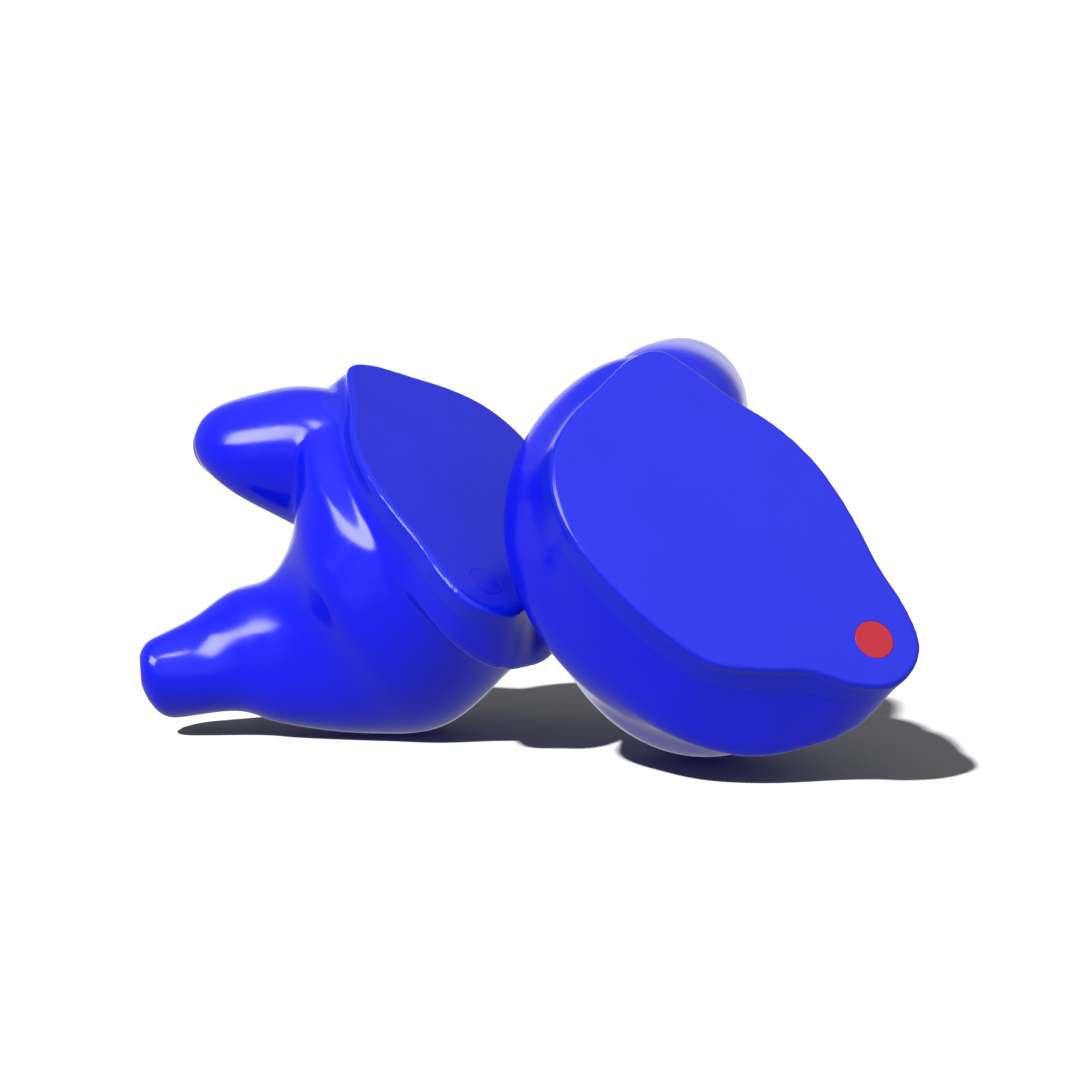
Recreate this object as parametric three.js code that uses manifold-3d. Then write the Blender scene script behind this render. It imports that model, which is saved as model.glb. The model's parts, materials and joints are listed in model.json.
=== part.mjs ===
// A pair of custom-moulded in-ear monitors, standing side by side on a table.
// Millimetres, +Z up. The origin is on the table, under the middle of the pair.
//
// Each monitor is drawn in its own frame: z = 0 is the outer face of its faceplate, +z points
// away from the head, +y points to the nose of the faceplate and +x to the ear canal's side.
// The right monitor is placed as drawn. The left one is its mirror image.

import * as THREE from 'three';
import { LoftGeometry } from 'three/addons/geometries/LoftGeometry.js';
import { mergeVertices } from 'three/addons/utils/BufferGeometryUtils.js';
import Module from 'manifold-3d';

const wasm = await Module();
wasm.setup();

// ---- driving dimensions ----

const plateLength = 25;        // faceplate, nose to tail
const plateWidth = 16.2;       // faceplate, across
const shellDepth = 18;         // faceplate to the deepest part of the bowl
const plateThickness = 1.6;
const seam = 0.3;              // between the faceplate and the shell's rim
const rimRound = 0.35;         // eased edge of the faceplate
const wall = 1.0;              // shell wall, measured in each section
const clearance = 0.3;         // round a piece that sits in a hole or pocket
const fit = 0.15;              // between the pieces inside a driver

const marker = { diameter: 2.3, thickness: 0.7, x: 3.3, y: -9.6 };
const socket = { width: 5.2, height: 2.8, depth: 4.2, cornerRadius: 0.7, proud: 0.1 };
const contact = { pitch: 2.0, outer: 1.2, bore: 0.8, length: 4.6, blind: 0.8 };
const tube = { outer: 1.6, inner: 1.1, inset: 0.5, lead: 0.8 };
const soundBore = { diameter: 2.0, spacing: 2.9 };
const damper = { diameter: 0.85, length: 1.6, fromTip: 2.2 };
const wire = { diameter: 0.4, lead: 0.7, underPlate: 0.45 };

// Drivers: x and y are the middle on the faceplate, and top is how far below it the cover lies.
// The treble driver lies beside the mid one.
const bass = { width: 6.8, length: 9.4, height: 3.8, sheet: 0.25, x: -1.2, y: 2.2, top: 2.8 };
const mid = { width: 3.9, length: 6.2, height: 2.7, sheet: 0.2, x: -2.3, y: 0.5, top: 7.1 };
const treble = { width: 2.7, length: 5.0, height: 2.0, sheet: 0.2, besideMid: 0.6, y: -0.1, top: 7.6 };
const bassOutlet = 1.9;        // from the middle of the bass driver's end to its outlet
const pairOutlet = { diameter: 0.7, inset: 0.45, below: 1 };
const spout = { outer: 1.8, inner: 1.0, length: 1.2, flange: 0.25, seat: 0.1 };
const bassFlange = { width: 2.6, height: 2.6 };
const pairFlange = { width: 2.8, height: 2.0 };

// The crossover: the parts' x and y are their middles on the board, the pads' from its near edge.
const board = { width: 4.4, length: 4.0, thickness: 0.4, x: 2.3, y: -6.0, top: 3.6 };
const capacitor = { width: 1.6, length: 0.9, height: 0.8, x: 0.8, y: -0.8 };
const resistor = { width: 1.0, length: 0.5, height: 0.4, x: 0.8, y: 0.6 };
const pads = { x: -1.1, spacing: 1.8, fromEdge: 0.5 };

const ringSides = 40;          // round the shell
const ringsPerSpan = 2;        // between two stations of the shell
const lobeSides = 18;          // round the helix lobe
const discSides = 24;          // the side marker
const holeSides = 12;          // bores, outlets and contacts
const tubeSides = 8;

// ---- finishes ----

const finish = {
  shell: { color: 0x2731e0, roughness: 0.12, metalness: 0 },
  plate: { color: 0x3840e8, roughness: 0.12, metalness: 0 },
  redDot: { color: 0xc63844, roughness: 0.2, metalness: 0 },
  blueDot: { color: 0x2227d2, roughness: 0.2, metalness: 0 },
  socket: { color: 0x1b1c20, roughness: 0.5, metalness: 0 },
  gold: { color: 0xd8b25a, roughness: 0.3, metalness: 1 },
  steel: { color: 0xb9bcc0, roughness: 0.35, metalness: 1 },
  brass: { color: 0xc8a860, roughness: 0.35, metalness: 1 },
  copper: { color: 0xb46a3c, roughness: 0.45, metalness: 1 },
  magnet: { color: 0x6d7076, roughness: 0.4, metalness: 1 },
  foil: { color: 0xd6d2c4, roughness: 0.4, metalness: 0 },
  tube: { color: 0xe8ecf0, roughness: 0.25, metalness: 0 },
  damper: { color: 0x2f8a4e, roughness: 0.7, metalness: 0 },
  board: { color: 0x1f5a34, roughness: 0.5, metalness: 0 },
  ceramic: { color: 0xb59a78, roughness: 0.6, metalness: 0 },
  chip: { color: 0x222326, roughness: 0.5, metalness: 0 },
  enamel: { color: 0xa8552c, roughness: 0.35, metalness: 0.2 },
};

// ---- solids ----

const vec = (x, y, z) => new THREE.Vector3(x, y, z);
const rad = THREE.MathUtils.degToRad;

function solidOf(geometry) {
  const bare = new THREE.BufferGeometry().copy(geometry);
  bare.deleteAttribute('normal');
  bare.deleteAttribute('uv');
  const merged = mergeVertices(bare, 1e-5);
  const points = merged.getAttribute('position').array;
  const index = merged.index.array;
  const kept = [];
  for (let i = 0; i < index.length; i += 3) {
    const [a, b, c] = [index[i], index[i + 1], index[i + 2]];
    if (a !== b && b !== c && c !== a) kept.push(a, b, c);
  }
  const mesh = new wasm.Mesh({
    numProp: 3,
    vertProperties: Float32Array.from(points),
    triVerts: Uint32Array.from(kept),
  });
  return new wasm.Manifold(mesh);
}

function geometryOf(solid) {
  const mesh = solid.getMesh();
  const geometry = new THREE.BufferGeometry();
  geometry.setAttribute('position', new THREE.BufferAttribute(mesh.vertProperties, 3));
  geometry.setIndex(new THREE.BufferAttribute(mesh.triVerts, 1));
  geometry.computeVertexNormals();
  return geometry;
}

const union = (...geometries) => geometryOf(geometries.map(solidOf).reduce((a, b) => a.add(b)));

const cut = (body, ...tools) => geometryOf(tools.map(solidOf).reduce((a, b) => a.subtract(b), solidOf(body)));

const common = (a, b) => geometryOf(solidOf(a).intersect(solidOf(b)));

const boxAt = (w, l, h, x, y, z) => new THREE.BoxGeometry(w, l, h).translate(x, y, z);

// A round rod or hole along +z, from z = 0 to its length.
function rod(diameter, length, sides = holeSides) {
  const geometry = new THREE.CylinderGeometry(diameter / 2, diameter / 2, length, sides);
  return geometry.rotateX(Math.PI / 2).translate(0, 0, length / 2);
}

// Turns a piece that is drawn along +z to a direction and sets it down at a point.
// up says where the piece's own +y goes, as near as it can.
function along(geometry, from, direction, up = vec(0, 0, 1)) {
  const z = direction.clone().normalize();
  const x = up.clone().cross(z).normalize();
  const y = z.clone().cross(x);
  const place = new THREE.Matrix4().makeBasis(x, y, z).setPosition(from);
  return geometry.clone().applyMatrix4(place);
}

function circle(diameter, sides) {
  const points = [];
  for (let i = 0; i < sides; i += 1) {
    const a = (i / sides) * 2 * Math.PI;
    points.push(new THREE.Vector2(Math.cos(a), Math.sin(a)).multiplyScalar(diameter / 2));
  }
  return points;
}

// A round wire or tube along a list of points.
function sweep(points, outer, inner = 0, steps = 14, sides = tubeSides) {
  const shape = new THREE.Shape(circle(outer, sides));
  if (inner > 0) shape.holes.push(new THREE.Path(circle(inner, sides)));
  const path = new THREE.CatmullRomCurve3(points, false, 'centripetal');
  return new THREE.ExtrudeGeometry(shape, { steps, extrudePath: path, curveSegments: 1 });
}

// ---- the ear impression ----

// The faceplate's outline, anticlockwise seen from outside, as shares of half the plate's
// width and half its length.
const outlineShares = [
  [0.42, 1.0], [0.27, 0.99], [-0.06, 0.93], [-0.4, 0.88], [-0.7, 0.78], [-0.9, 0.61],
  [-1.0, 0.39], [-1.0, 0.17], [-0.95, -0.05], [-0.86, -0.26], [-0.72, -0.46], [-0.44, -0.6],
  [-0.15, -0.72], [0.07, -0.89], [0.36, -1.0], [0.68, -0.93], [0.81, -0.73], [0.85, -0.5],
  [0.93, -0.29], [0.99, -0.07], [1.0, 0.15], [0.93, 0.37], [0.79, 0.57], [0.7, 0.78],
  [0.6, 0.98],
];
const outlineCurve = new THREE.CatmullRomCurve3(
  outlineShares.map(([u, v]) => vec((u * plateWidth) / 2, (v * plateLength) / 2, 0)),
  true,
  'centripetal',
);
// The outline's points, evenly spaced and clockwise, as an angle and a distance from its middle.
const spokes = outlineCurve.getSpacedPoints(ringSides).slice(0, ringSides).reverse()
  .map((p) => ({ angle: Math.atan2(p.y, p.x), reach: Math.hypot(p.x, p.y) }));

// The stations below are drawn for one ear of this size, and stretched to the sizes above.
const drawn = { width: 16.2, length: 25, depth: 18 };
const stretch = vec(plateWidth / drawn.width, plateLength / drawn.length, shellDepth / drawn.depth);

// Sections from the faceplate down through the bowl and along the ear canal. Each has its
// middle, its lean towards the canal and towards the nose in degrees, its half width and
// half length, its turn in its own plane, how far it has gone from the plate's outline (0)
// to an oval (1), and how much wider its tail is than its nose.
const stationKeys = ['x', 'y', 'z', 'lean', 'nod', 'a', 'b', 'turn', 'oval', 'egg'];
const bowlStations = [
  [0, 0, -rimRound, 0, 0, 8.1, 12.5, 0, 0, 0],
  [-0.7, 0, -3.1, 7, 7, 8.9, 14.8, -7, 0.5, 0.03],
  [-0.4, 1.4, -5.5, 13, 0, 9.9, 12.8, -5, 0.9, -0.08],
  [0.4, 0.2, -8.0, 16, -3, 9.5, 10.5, 0, 1, -0.05],
  [2.3, -1.3, -12.5, 34, -3, 8.8, 8.7, -2, 1, 0],
  [5.3, -1.5, -15.4, 49, -7, 6.0, 6.8, 3, 1, -0.05],
  [8.9, 0.2, -17.6, 58, 0, 4.3, 5.2, -3, 1, -0.12],
  [11.1, 1.0, -19.1, 52, -1, 3.3, 3.8, 0, 1, -0.07],
  [14.0, 1.6, -21.1, 53, 12, 3.3, 2.7, 0, 1, 0],
];
const canalTipRound = 1.6;     // how far the canal's round end stands out
const cavityEnd = 5;           // the hollow stops at this station
const cavityTipRound = 1.5;

// The helix lobe: middle, half width across and half height, and turn in degrees.
const lobeStations = [
  [1.2, 5.5, -6.0, 4.6, 5.6, 5],
  [5.4, 9.3, -6.5, 4.6, 5.3, 8],
  [8.4, 12.3, -8.1, 4.7, 3.7, 0],
  [9.1, 14.1, -9.8, 3.4, 2.6, -5],
];
const lobeTipRound = 1.8;

// Rows of numbers between the given rows, on a smooth curve through them.
function between(rows, perSpan) {
  const at = (k) => rows[Math.max(0, Math.min(rows.length - 1, k))];
  const out = [];
  for (let k = 0; k < rows.length - 1; k += 1) {
    const start = k === 0 ? at(0).map((v, j) => 2 * v - at(1)[j]) : at(k - 1);
    const end = k === rows.length - 2 ? at(k + 1).map((v, j) => 2 * v - at(k)[j]) : at(k + 2);
    for (let s = 0; s < perSpan; s += 1) {
      const t = s / perSpan;
      out.push(at(k).map((b, j) => {
        const [a, c, d] = [start[j], at(k + 1)[j], end[j]];
        return 0.5 * (2 * b + (c - a) * t + (2 * a - 5 * b + 4 * c - d) * t * t
          + (3 * b - 3 * c + d - a) * t * t * t);
      }));
    }
  }
  out.push(at(rows.length - 1));
  return out;
}

// The axes of a section's plane and the direction it faces, down the loft.
function sectionAxes(lean, nod) {
  const [l, n] = [rad(lean), rad(nod)];
  const across = vec(Math.cos(l), 0, Math.sin(l));
  const down = vec(Math.sin(l) * Math.cos(n), Math.sin(n), -Math.cos(l) * Math.cos(n));
  const up = across.clone().cross(down).normalize();
  return { across, up, down };
}

function bowlSection(row, inset) {
  const s = Object.fromEntries(stationKeys.map((key, i) => [key, row[i]]));
  const { across, up } = sectionAxes(s.lean, s.nod);
  const [a, b] = [s.a - inset, s.b - inset];
  return spokes.map(({ angle, reach }) => {
    const own = angle - rad(s.turn);
    const oval = 1 / Math.hypot(Math.cos(own) / a, Math.sin(own) / b);
    const [c, n] = [Math.cos(angle), Math.sin(angle)];
    const rim = reach - inset;
    const x = (1 - s.oval) * rim * c / stretch.x + s.oval * oval * c * (1 - s.egg * n);
    const y = (1 - s.oval) * rim * n / stretch.y + s.oval * oval * n;
    return vec(s.x, s.y, s.z).addScaledVector(across, x).addScaledVector(up, y).multiply(stretch);
  });
}

// Shrinking copies of a section that close it with a round end.
function roundEnd(section, direction, height, steps = 3) {
  const middle = section.reduce((sum, p) => sum.add(p), vec(0, 0, 0)).divideScalar(section.length);
  const out = [];
  for (let k = 1; k <= steps; k += 1) {
    const a = (k / (steps + 0.35)) * (Math.PI / 2);
    const shift = direction.clone().multiplyScalar(height * Math.sin(a));
    out.push(section.map((p) => p.clone().sub(middle).multiplyScalar(Math.cos(a)).add(middle).add(shift)));
  }
  return out;
}

// A loft with flat caps. Its sections turn anticlockwise, seen from where it runs to.
const closedLoft = (sections) => geometryOf(
  solidOf(new LoftGeometry(sections, { capStart: true, capEnd: true })),
);

function bowlForm() {
  const rows = between(bowlStations, ringsPerSpan);
  const sections = rows.map((row) => bowlSection(row, 0));
  const rim = bowlSection(bowlStations[0], rimRound).map((p) => p.setZ(0));
  const last = rows.at(-1);
  const { down } = sectionAxes(last[3], last[4]);
  return closedLoft([rim, ...sections, ...roundEnd(sections.at(-1), down, canalTipRound)]);
}

function cavityForm() {
  const rows = between(bowlStations.slice(0, cavityEnd + 1), ringsPerSpan);
  const sections = rows.map((row) => bowlSection(row, wall));
  const mouth = sections[0].map((p) => p.clone().setZ(plateThickness));
  const last = rows.at(-1);
  const { down } = sectionAxes(last[3], last[4]);
  return closedLoft([mouth, ...sections, ...roundEnd(sections.at(-1), down, cavityTipRound)]);
}

function lobeForm() {
  const rows = between(lobeStations, ringsPerSpan);
  const middles = rows.map((r) => vec(r[0], r[1], r[2]));
  const sections = rows.map((row, k) => {
    const ahead = middles[Math.min(k + 1, rows.length - 1)];
    const behind = middles[Math.max(k - 1, 0)];
    const run = ahead.clone().sub(behind).normalize();
    const across = vec(0, 0, 1).cross(run).normalize();
    const up = run.clone().cross(across);
    const t = rad(row[5]);
    const a = across.clone().multiplyScalar(Math.cos(t)).addScaledVector(up, Math.sin(t));
    const b = up.clone().multiplyScalar(Math.cos(t)).addScaledVector(across, -Math.sin(t));
    return circle(2, lobeSides).map((p) => middles[k].clone()
      .addScaledVector(a, p.x * row[3]).addScaledVector(b, p.y * row[4]).multiply(stretch));
  });
  const run = middles.at(-1).clone().sub(middles.at(-2)).normalize();
  return closedLoft([...sections, ...roundEnd(sections.at(-1), run, lobeTipRound)]);
}

// ---- sound paths ----

const tip = bowlStations.at(-1);
const neck = bowlStations.at(-3);
const tipMiddle = vec(tip[0], tip[1], tip[2]).multiply(stretch);
const neckMiddle = vec(neck[0], neck[1], neck[2]).multiply(stretch);
const canalRun = tipMiddle.clone().sub(neckMiddle).normalize();
const canalAcross = sectionAxes(tip[3], tip[4]).across
  .addScaledVector(canalRun, -sectionAxes(tip[3], tip[4]).across.dot(canalRun)).normalize();
const canalEnd = tipMiddle.clone().addScaledVector(canalRun, canalTipRound);
const hollowEnd = vec(...bowlStations[cavityEnd]).multiply(stretch);
const boreDepth = canalEnd.distanceTo(hollowEnd);

// A point on a sound bore's axis. side is +1 for the bass bore and -1 for the other one.
const boreAxis = (side, fromEnd) => canalEnd.clone()
  .addScaledVector(canalRun, -fromEnd)
  .addScaledVector(canalAcross, (side * soundBore.spacing) / 2);

function boreTool(side) {
  const past = 1;
  return along(rod(soundBore.diameter, boreDepth + past), boreAxis(side, boreDepth), canalRun, canalAcross);
}

// ---- the cable socket, in the wall behind the nose ----

const bowl = bowlForm();
const impression = union(bowl, lobeForm());

const socketRun = vec(-0.12, 0.66, -0.74).normalize();
const socketAcross = vec(1, 0, 0).addScaledVector(socketRun, -socketRun.x).normalize();
const socketUp = socketRun.clone().cross(socketAcross);
const insideNose = vec(-2.2, 8.2, -4.4).multiply(stretch);

// Where a line from inside the bowl comes out of it.
function surfacePoint(from, direction) {
  const skin = new THREE.Mesh(bowl, new THREE.MeshBasicMaterial({ side: THREE.DoubleSide }));
  return new THREE.Raycaster(from, direction).intersectObject(skin).at(-1).point;
}
const socketMouth = surfacePoint(insideNose, socketRun).addScaledVector(socketRun, socket.proud);

// A point on the socket: across it, up it, and out along it from its mouth.
const onSocket = (x, y, z) => socketMouth.clone()
  .addScaledVector(socketAcross, x).addScaledVector(socketUp, y).addScaledVector(socketRun, z);

// The socket's block, grown all round and lengthened outwards.
function socketBlock(grow, extra) {
  const w = socket.width / 2 + grow;
  const h = socket.height / 2 + grow;
  const r = socket.cornerRadius;
  const shape = new THREE.Shape();
  shape.moveTo(-w + r, -h);
  shape.lineTo(w - r, -h).absarc(w - r, -h + r, r, -Math.PI / 2, 0, false);
  shape.lineTo(w, h - r).absarc(w - r, h - r, r, 0, Math.PI / 2, false);
  shape.lineTo(-w + r, h).absarc(-w + r, h - r, r, Math.PI / 2, Math.PI, false);
  shape.lineTo(-w, -h + r).absarc(-w + r, -h + r, r, Math.PI, 1.5 * Math.PI, false);
  const depth = socket.depth + grow + extra;
  const block = new THREE.ExtrudeGeometry(shape, { depth, bevelEnabled: false, curveSegments: 3 });
  return along(block, onSocket(0, 0, -socket.depth - grow), socketRun, socketUp);
}

function socketHousing() {
  const past = 1;
  const holes = [-1, 1].map((side) => along(rod(contact.outer + 2 * fit, socket.depth + 2 * past),
    onSocket((side * contact.pitch) / 2, 0, -socket.depth - past), socketRun, socketUp));
  return cut(socketBlock(0, 0), ...holes);
}

// A blind brass barrel. It starts just under the socket's mouth and its tail stands out inside.
function contactBarrel(side) {
  const [r, bore] = [contact.outer / 2, contact.bore / 2];
  const profile = [[0, 0], [r, 0], [r, contact.length], [bore, contact.length], [bore, contact.blind],
    [0, contact.blind]].map(([x, y]) => new THREE.Vector2(x, y));
  const barrel = new THREE.LatheGeometry(profile, holeSides).rotateX(Math.PI / 2);
  return along(barrel, contactTail(side), socketRun, socketUp);
}
const contactTail = (side) => onSocket((side * contact.pitch) / 2, 0, -fit - contact.length);

// ---- the shell and its cover ----

// A slab wider than the impression, between two heights.
const slab = (top, bottom) => boxAt(4 * plateLength, 4 * plateLength, top - bottom, 0, 0, (top + bottom) / 2);

function shell() {
  const above = slab(plateThickness, -plateThickness - seam);
  const pocket = socketBlock(clearance, socket.depth);
  return cut(impression, cavityForm(), above, boreTool(1), boreTool(-1), pocket);
}

const markerPlace = vec(marker.x, marker.y, 0).multiply(stretch).setZ(-marker.thickness);

function faceplate() {
  const disc = rod(marker.diameter + 2 * fit, 2 * marker.thickness, discSides);
  const pocket = disc.translate(markerPlace.x, markerPlace.y, markerPlace.z - fit);
  return cut(common(impression, slab(plateThickness, -plateThickness)), pocket);
}

const sideMarker = () => rod(marker.diameter, marker.thickness, discSides).translate(...markerPlace);

// ---- balanced-armature drivers ----
// A driver's own frame has its floor at z = 0 and its sound outlet at its -y end.

const middleX = (d) => (d === treble
  ? mid.x * stretch.x + (mid.width + treble.width) / 2 + treble.besideMid
  : d.x * stretch.x);
const driverPlace = (d) => vec(middleX(d), d.y * stretch.y, -d.top - d.height);
const inDriver = (d, geometry) => {
  const p = driverPlace(d);
  return geometry.translate(p.x, p.y, p.z);
};

// The drawn can, open at the top, with a hole for its spout.
function driverCase(d, outletDiameter, outletX, outletZ) {
  const rimHeight = d.height - d.sheet - fit;
  const can = boxAt(d.width, d.length, rimHeight, 0, 0, rimHeight / 2);
  const inside = boxAt(d.width - 2 * d.sheet, d.length - 2 * d.sheet, d.height, 0, 0,
    d.height / 2 + d.sheet);
  const reach = 3;
  const outlet = rod(outletDiameter, reach).rotateX(Math.PI / 2)
    .translate(outletX, (reach - d.length) / 2, outletZ);
  return inDriver(d, cut(can, inside, outlet));
}

const driverCover = (d) => inDriver(d, boxAt(d.width, d.length, d.sheet, 0, 0, d.height - d.sheet / 2));

// A flange with a short pipe, pointing along -y from the driver's end.
function spoutAt({ x, y, z }, flange) {
  const past = 1;
  const foot = boxAt(flange.width, spout.flange, flange.height, x, y - spout.flange / 2, z);
  const nozzle = rod(spout.outer, spout.length - spout.seat).rotateX(Math.PI / 2)
    .translate(x, y - spout.seat, z);
  const way = rod(spout.inner, spout.length + 2 * past).rotateX(Math.PI / 2).translate(x, y + past, z);
  return cut(union(foot, nozzle), way);
}

const bassMotor = {
  reedThickness: 0.25, reedWidth: 1.0, reedLevel: 1.95, legLevel: 0.5, bendInset: 1.0, tipInset: 1.4,
  windowWidth: 1.7, outerWidth: 3.0, outerHeight: 2.1,
  coilFromBend: 0.85, coilLength: 2.7, coilWindow: 0.9, yokeFromCoil: 0.35, yokeFromTip: 0.5, yokeWindow: 1.6,
  magnetHeight: 0.4, magnetWidth: 1.4, pinDiameter: 0.3, diaphragm: 0.15,
};
const reedStart = bassMotor.bendInset - bass.length / 2;
const reedEnd = bass.length / 2 - bassMotor.tipInset;
const coilY = reedStart + bassMotor.coilFromBend + bassMotor.coilLength / 2;
const yokeStart = coilY + bassMotor.coilLength / 2 + bassMotor.yokeFromCoil;
const yokeLength = reedEnd - bassMotor.yokeFromTip - yokeStart;
const yokeY = yokeStart + yokeLength / 2;

// The U-shaped armature: a leg that is fixed, a bend, and the leg that moves.
function bassReed() {
  const m = bassMotor;
  const t = m.reedThickness / 2;
  const rise = (m.reedLevel - m.legLevel) / 2;
  const middle = (m.reedLevel + m.legLevel) / 2;
  const shape = new THREE.Shape();
  shape.moveTo(reedEnd, m.legLevel - t);
  shape.lineTo(reedEnd, m.legLevel + t);
  shape.lineTo(reedStart + rise, m.legLevel + t);
  shape.absarc(reedStart + rise, middle, rise - t, -Math.PI / 2, Math.PI / 2, true);
  shape.lineTo(reedEnd, m.reedLevel - t);
  shape.lineTo(reedEnd, m.reedLevel + t);
  shape.absarc(reedStart + rise, middle, rise + t, Math.PI / 2, -Math.PI / 2, false);
  const settings = { depth: m.reedWidth, bevelEnabled: false, curveSegments: 6 };
  const strip = new THREE.ExtrudeGeometry(shape, settings);
  strip.translate(0, 0, -m.reedWidth / 2);
  strip.applyMatrix4(new THREE.Matrix4().makeBasis(vec(0, 1, 0), vec(0, 0, 1), vec(1, 0, 0)));
  return inDriver(bass, strip);
}

// A square ring round the moving leg: the coil, or the magnets' yoke.
function bassRing(y, length, windowHeight) {
  const m = bassMotor;
  const ring = boxAt(m.outerWidth, length, m.outerHeight, 0, y, m.reedLevel);
  return inDriver(bass, cut(ring, boxAt(m.windowWidth, length + 1, windowHeight, 0, y, m.reedLevel)));
}

function bassMagnet(side) {
  const m = bassMotor;
  const z = m.reedLevel + side * (m.yokeWindow / 2 - fit / 2 - m.magnetHeight / 2);
  return inDriver(bass, boxAt(m.magnetWidth, yokeLength, m.magnetHeight, 0, yokeY, z));
}

const diaphragmLevel = bass.height - bass.sheet - fit - bassMotor.diaphragm;

function bassPin() {
  const m = bassMotor;
  const start = m.reedLevel + m.reedThickness / 2 + fit;
  const pin = rod(m.pinDiameter, diaphragmLevel - fit - start, 8);
  return inDriver(bass, pin.translate(0, reedEnd - m.pinDiameter, start));
}

function bassDiaphragm() {
  const w = bass.width - 2 * bass.sheet - 2 * fit;
  const l = bass.length - 2 * bass.sheet - 2 * fit;
  return inDriver(bass, boxAt(w, l, bassMotor.diaphragm, 0, 0, diaphragmLevel - bassMotor.diaphragm / 2));
}

// Where each spout leaves its driver.
const bassEnd = driverPlace(bass).add(vec(bassOutlet, -bass.length / 2 - fit, bass.height / 2));
const pairLevel = -(Math.max(mid.top, treble.top) + pairOutlet.below);
const pairEnd = vec(
  (driverPlace(mid).x + mid.width / 2 + driverPlace(treble).x - treble.width / 2) / 2,
  Math.min(driverPlace(mid).y - mid.length / 2, driverPlace(treble).y - treble.length / 2) - fit,
  pairLevel,
);

// A driver of the joined pair, with its outlet towards the other one.
function pairCase(d) {
  const place = driverPlace(d);
  const inward = Math.sign(pairEnd.x - place.x);
  const outletX = inward * (d.width / 2 - d.sheet - pairOutlet.inset);
  return driverCase(d, pairOutlet.diameter, outletX, pairLevel - place.z);
}

// ---- tubes, dampers, wires and the crossover ----

// The two bends of each tube, between its driver and its bore.
const bassBends = [[2.4, -5.6, -6.6], [4.0, -4.6, -10.2]];
const pairBends = [[0.4, -5.6, -10.6], [1.6, -4.0, -13.6]];

function soundTube(side, start, bends) {
  const first = start.clone().add(vec(0, -spout.length - clearance, 0));
  const points = [
    first,
    first.clone().add(vec(0, -tube.lead, 0)),
    ...bends.map((bend) => vec(...bend).multiply(stretch)),
    boreAxis(side, boreDepth + tube.lead),
    boreAxis(side, boreDepth),
    boreAxis(side, boreDepth / 2),
    boreAxis(side, tube.inset),
  ];
  return sweep(points, tube.outer, tube.inner, 18);
}

const damperAt = (side) => along(rod(damper.diameter, damper.length, tubeSides),
  boreAxis(side, damper.fromTip + damper.length), canalRun, canalAcross);

const boardPlace = vec(board.x, board.y, 0).multiply(stretch).setZ(-board.top);
const onBoard = (chip) => boxAt(chip.width, chip.length, chip.height, boardPlace.x + chip.x,
  boardPlace.y + chip.y, boardPlace.z + fit + chip.height / 2);

// From a contact's tail, round the end of the bass driver, under the faceplate to its pad.
function supplyWire(side) {
  const from = contactTail(side).addScaledVector(socketRun, -clearance);
  const pad = boardPlace.clone()
    .add(vec(pads.x + (side * pads.spacing) / 2, board.length / 2 - pads.fromEdge, clearance));
  const level = -plateThickness - wire.underPlate;
  const bassStart = driverPlace(bass).y + bass.length / 2;
  const points = [
    from,
    from.clone().addScaledVector(socketRun, -wire.lead),
    vec(from.x + wire.diameter / 2, bassStart + 2 * wire.diameter, level - clearance),
    vec((from.x + pad.x) / 2, driverPlace(bass).y, level),
    vec(pad.x, pad.y + board.length / 3, level),
    pad.clone().add(vec(0, wire.diameter, wire.diameter)),
    pad,
  ];
  return sweep(points, wire.diameter, 0, 12, 6);
}

// ---- one monitor ----

function piece(name, geometry, look) {
  const mesh = new THREE.Mesh(geometry, new THREE.MeshStandardMaterial(finish[look]));
  mesh.name = name;
  return mesh;
}

function monitor(side, dotLook) {
  const group = new THREE.Group();
  const add = (name, geometry, look) => group.add(piece(`${side}_${name}`, geometry, look));
  add('shell', shell(), 'shell');
  add('faceplate', faceplate(), 'plate');
  add('side_marker', sideMarker(), dotLook);
  add('cable_socket', socketHousing(), 'socket');
  add('socket_contact_a', contactBarrel(-1), 'gold');
  add('socket_contact_b', contactBarrel(1), 'gold');

  add('bass_driver_case', driverCase(bass, spout.inner, bassOutlet, bass.height / 2), 'steel');
  add('bass_driver_cover', driverCover(bass), 'steel');
  add('bass_driver_spout', spoutAt(bassEnd, bassFlange), 'brass');
  add('bass_driver_coil', bassRing(coilY, bassMotor.coilLength, bassMotor.coilWindow), 'copper');
  add('bass_driver_yoke', bassRing(yokeY, yokeLength, bassMotor.yokeWindow), 'steel');
  add('bass_driver_lower_magnet', bassMagnet(-1), 'magnet');
  add('bass_driver_upper_magnet', bassMagnet(1), 'magnet');
  add('bass_driver_reed', bassReed(), 'steel');
  add('bass_driver_drive_pin', bassPin(), 'brass');
  add('bass_driver_diaphragm', bassDiaphragm(), 'foil');

  add('mid_driver_case', pairCase(mid), 'steel');
  add('mid_driver_cover', driverCover(mid), 'steel');
  add('treble_driver_case', pairCase(treble), 'steel');
  add('treble_driver_cover', driverCover(treble), 'steel');
  add('mid_treble_spout', spoutAt(pairEnd, pairFlange), 'brass');

  add('bass_sound_tube', soundTube(1, bassEnd, bassBends), 'tube');
  add('mid_treble_sound_tube', soundTube(-1, pairEnd, pairBends), 'tube');
  add('bass_damper', damperAt(1), 'damper');
  add('mid_treble_damper', damperAt(-1), 'damper');

  add('crossover_board', boxAt(board.width, board.length, board.thickness, boardPlace.x, boardPlace.y,
    boardPlace.z - board.thickness / 2), 'board');
  add('crossover_capacitor', onBoard(capacitor), 'ceramic');
  add('crossover_resistor', onBoard(resistor), 'chip');
  add('supply_wire_a', supplyWire(-1), 'enamel');
  add('supply_wire_b', supplyWire(1), 'enamel');
  return group;
}

// ---- the pair ----

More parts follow.
